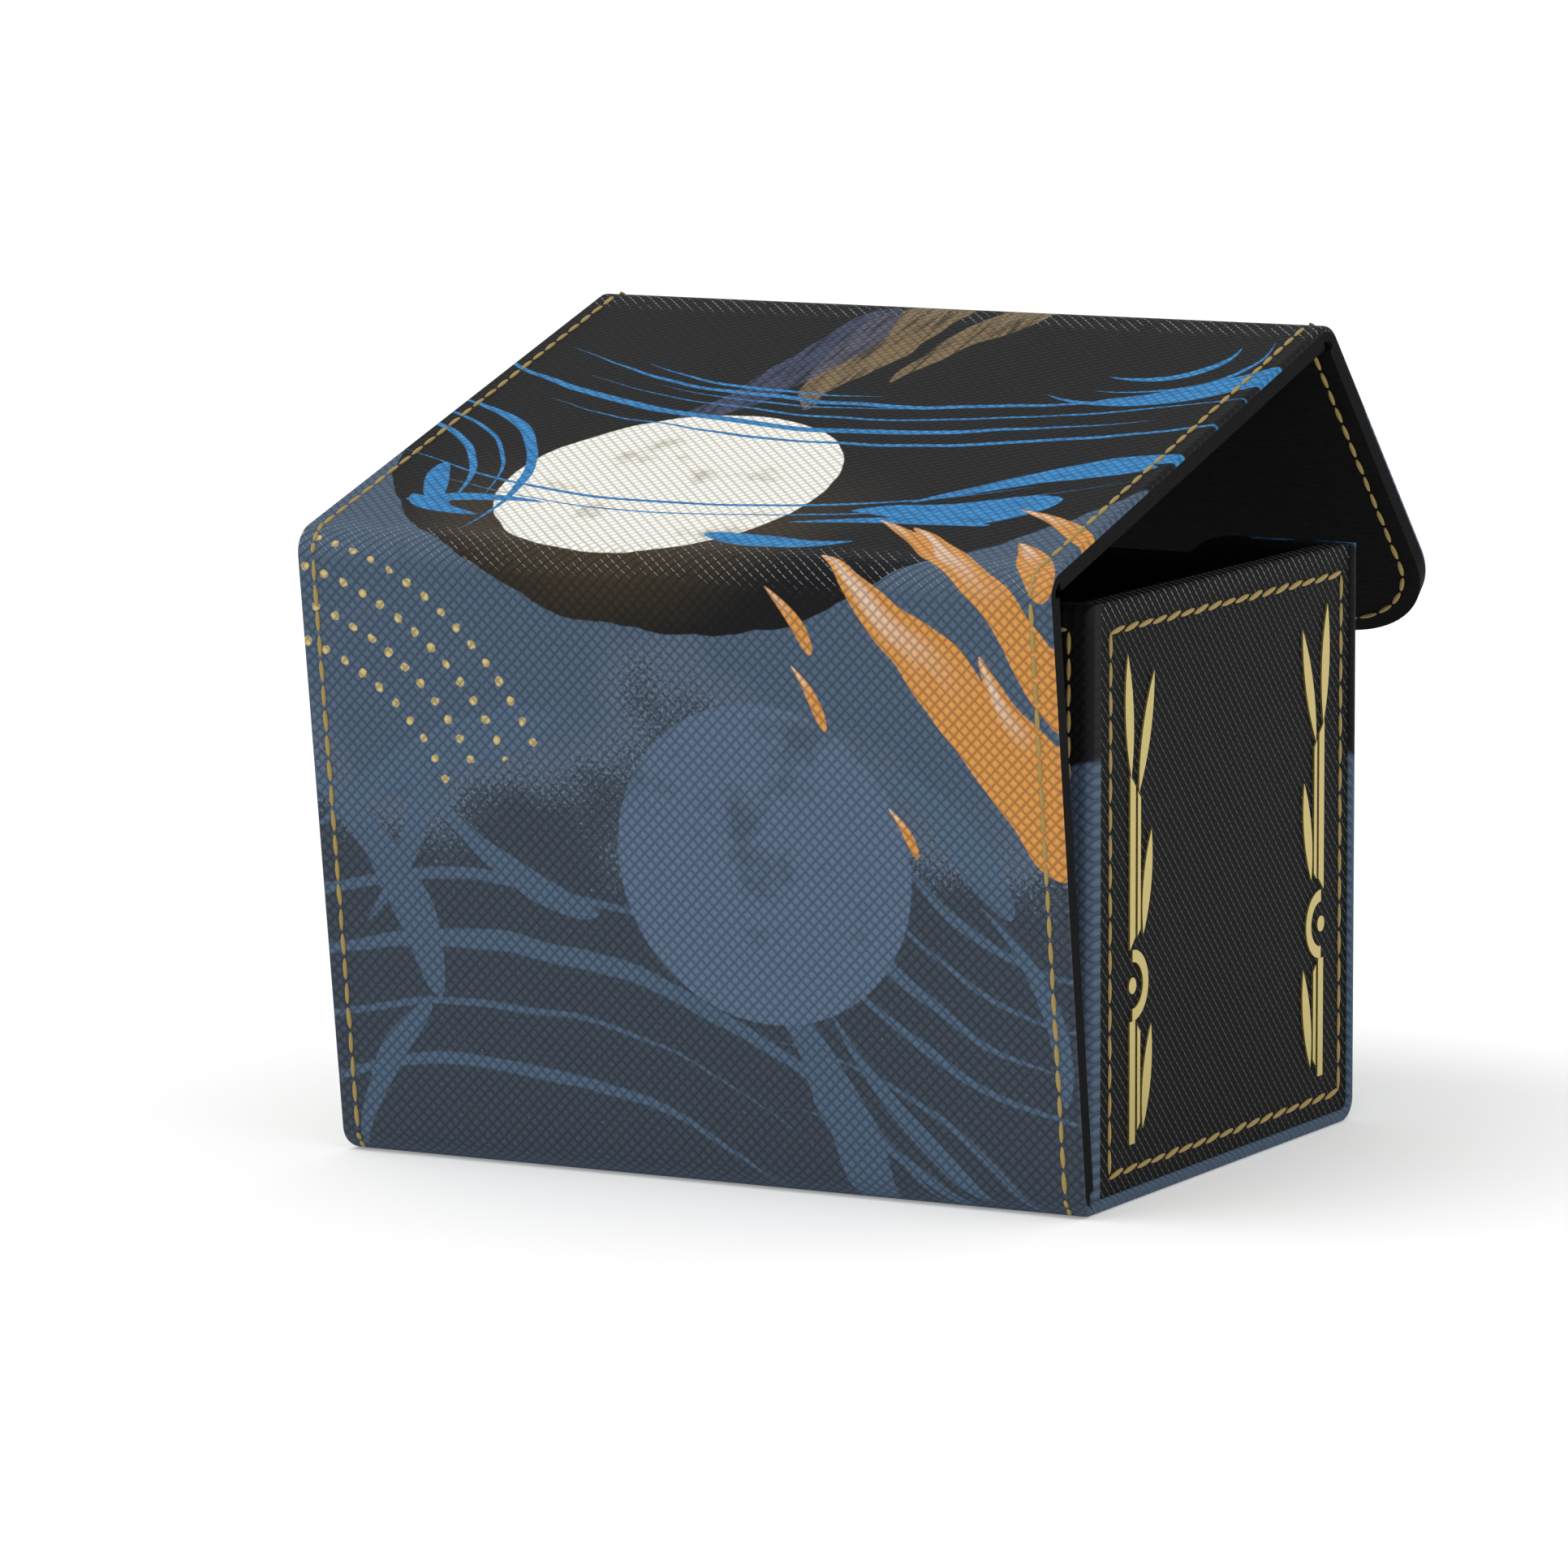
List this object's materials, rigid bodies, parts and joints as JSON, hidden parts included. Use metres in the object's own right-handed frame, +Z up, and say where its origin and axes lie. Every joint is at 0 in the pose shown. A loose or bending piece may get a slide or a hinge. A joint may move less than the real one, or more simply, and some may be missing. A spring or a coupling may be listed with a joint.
{
  "type": "card deck box",
  "caption": "Leatherette card deck box whose one-piece cover folds from a front cover to a lid and a rear flap around an open-topped compartment.",
  "frame": {"origin": "middle of the flat underside", "axes": "+Z up, +X to the right along the box's width, +Y from the front cover to the rear wall"},
  "size_m": [0.103, 0.116, 0.1016],
  "materials": {
    "printed_leather": "matt printed leatherette with a quilted diamond grain",
    "black_leather": "matt black leatherette with a slanting woven grain",
    "black_lining": "matt black microfibre",
    "gold_thread": "waxed gold sewing thread",
    "gold_foil": "satin raised foil",
    "grey_board": "pressed grey board",
    "magnet": "nickel-plated disc"
  },
  "bodies": {
    "root": {"covering_strip": "printed_leather", "floor_board": "grey_board", "floor_lining": "black_lining", "front_wall_board": "grey_board", "front_wall_leather": "printed_leather", "front_wall_lining": "black_lining", "front_wall_stitching": "gold_thread", "left_end_board": "grey_board", "left_end_foil": "gold_foil", "left_end_leather": "black_leather", "left_end_lining": "black_lining", "left_end_stitching": "gold_thread", "rear_board": "grey_board", "rear_lining": "black_lining", "rear_magnets": "magnet", "right_end_board": "grey_board", "right_end_foil": "gold_foil", "right_end_leather": "black_leather", "right_end_lining": "black_lining", "right_end_stitching": "gold_thread"},
    "cover_crease": {"cover_fold": "printed_leather"},
    "front_cover": {"cover_board": "grey_board", "cover_leather": "printed_leather", "cover_lining": "black_lining", "cover_stitching": "gold_thread"},
    "lid_crease": {"lid_fold": "printed_leather"},
    "lid": {"lid_board": "grey_board", "lid_leather": "printed_leather", "lid_lining": "black_lining", "lid_stitching": "gold_thread"},
    "flap_crease": {"flap_fold": "printed_leather"},
    "flap": {"flap_board": "grey_board", "flap_leather": "printed_leather", "flap_lining": "black_lining", "flap_magnets": "magnet", "flap_stitching": "gold_thread"}
  },
  "joints": [
    {"name": "cover_swing", "type": "hinge", "parent": "root", "child": "cover_crease", "pos_m": [0, -0.0381, 0.0009], "axis": [1, 0, 0], "range_deg": [0, 82.6], "deforming": ["cover_fold"]},
    {"name": "cover_closing", "type": "hinge", "parent": "cover_crease", "child": "front_cover", "pos_m": [0, -0.0381, 0.0009], "axis": [1, 0, 0], "range_deg": [-7.4, 0], "deforming": ["cover_fold"]},
    {"name": "lid_closing", "type": "hinge", "parent": "front_cover", "child": "lid_crease", "pos_m": [0, -0.04807, 0.07766], "axis": [1, 0, 0], "range_deg": [-9.5, 0], "deforming": ["lid_fold"]},
    {"name": "lid_swing", "type": "hinge", "parent": "lid_crease", "child": "lid", "pos_m": [0, -0.04807, 0.07766], "axis": [1, 0, 0], "range_deg": [0, 80.5], "deforming": ["lid_fold"]},
    {"name": "flap_closing", "type": "hinge", "parent": "lid", "child": "flap_crease", "pos_m": [0, 0.02943, 0.1012], "axis": [1, 0, 0], "range_deg": [-25.2, 0], "deforming": ["flap_fold"]},
    {"name": "flap_swing", "type": "hinge", "parent": "flap_crease", "child": "flap", "pos_m": [0, 0.02943, 0.1012], "axis": [1, 0, 0], "range_deg": [0, 64.8], "deforming": ["flap_fold"]}
  ],
  "couplings": [
    {"joint": "cover_closing", "follows": "lid_closing", "ratio": 0.77895},
    {"joint": "flap_closing", "follows": "lid_closing", "ratio": 2.6526}
  ]
}
